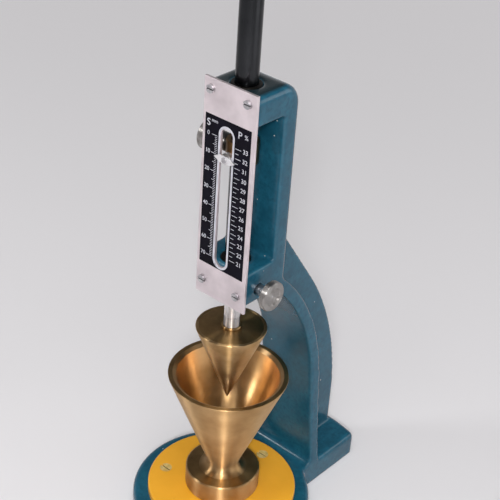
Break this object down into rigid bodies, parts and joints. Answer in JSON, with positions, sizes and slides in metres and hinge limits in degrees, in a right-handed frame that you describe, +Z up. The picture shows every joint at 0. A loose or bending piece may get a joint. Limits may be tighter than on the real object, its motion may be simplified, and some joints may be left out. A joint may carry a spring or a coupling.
{
  "type": "vicat apparatus",
  "caption": "Bench stand with a guided sliding rod, test cone, pointer on a slotted scale plate, clamp screw and a brass cone mould for cement consistency tests.",
  "frame": {"origin": "on the sliding rod's axis, in the flat underside of the base", "axes": "+Z up along the rod, +X to the right of a person who reads the scale plate, +Y back to the column"},
  "size_m": [0.105, 0.152, 0.355],
  "materials": {
    "casting_enamel": "glossy teal enamel on a rough iron casting",
    "table_enamel": "glossy yellow enamel",
    "bush_brass": "turned",
    "mould_brass": "turned and polished",
    "cone_brass": "turned and polished",
    "collar_brass": "turned, darkened",
    "scale_aluminium": "satin, with a black printed panel",
    "rod_steel": "ground and polished",
    "nickel": "bright nickel plate",
    "knob_steel": "satin plate with knurled rims",
    "screw_steel": "bright plate"
  },
  "bodies": {
    "stand": {"stand_casting": "casting_enamel", "upper_guide_bush": "bush_brass", "lower_guide_bush": "bush_brass", "scale_plate": "scale_aluminium", "plate_screws": "screw_steel", "table_disc": "table_enamel", "table_screws": "screw_steel", "cone_mould": "mould_brass"},
    "rod": {"slide_rod": "rod_steel", "stem_chuck": "nickel", "cone_stem": "nickel", "test_cone": "cone_brass", "cone_lid": "cone_brass"},
    "collar": {"pointer_collar": "collar_brass", "pointer": "nickel", "pointer_screw": "screw_steel"},
    "collar_pad_body": {"collar_pad": "bush_brass"},
    "collar_thumbscrew": {"collar_screw": "knob_steel", "collar_knob": "knob_steel"},
    "clamp_pad_body": {"clamp_shoe": "bush_brass"},
    "clamp_thumbscrew": {"clamp_screw": "knob_steel", "clamp_knob": "knob_steel"}
  },
  "joints": [
    {"name": "rod_slide", "type": "slide", "parent": "stand", "child": "rod", "axis": [0, 0, 1], "range_m": [-0.0535, 0.0105]},
    {"name": "collar_slide", "type": "slide", "parent": "rod", "child": "collar", "axis": [0, 0, 1], "range_m": [-0.002, 0.002]},
    {"name": "collar_travel", "type": "slide", "parent": "collar", "child": "collar_pad_body", "axis": [-1, 0, 0], "range_m": [0, 0.0016]},
    {"name": "collar_turn", "type": "hinge", "parent": "collar_pad_body", "child": "collar_thumbscrew", "pos_m": [-0.0205, 0, 0.2414], "axis": [-1, 0, 0], "range_deg": [0, 725]},
    {"name": "clamp_travel", "type": "slide", "parent": "stand", "child": "clamp_pad_body", "axis": [1, 0, 0], "range_m": [0, 0.002]},
    {"name": "clamp_turn", "type": "hinge", "parent": "clamp_pad_body", "child": "clamp_thumbscrew", "pos_m": [0.024, 0, 0.1652], "axis": [1, 0, 0], "range_deg": [0, 725]}
  ],
  "couplings": [
    {"joint": "collar_turn", "follows": "collar_travel", "rad_per_m": 7854},
    {"joint": "clamp_turn", "follows": "clamp_travel", "rad_per_m": 6283.2}
  ]
}
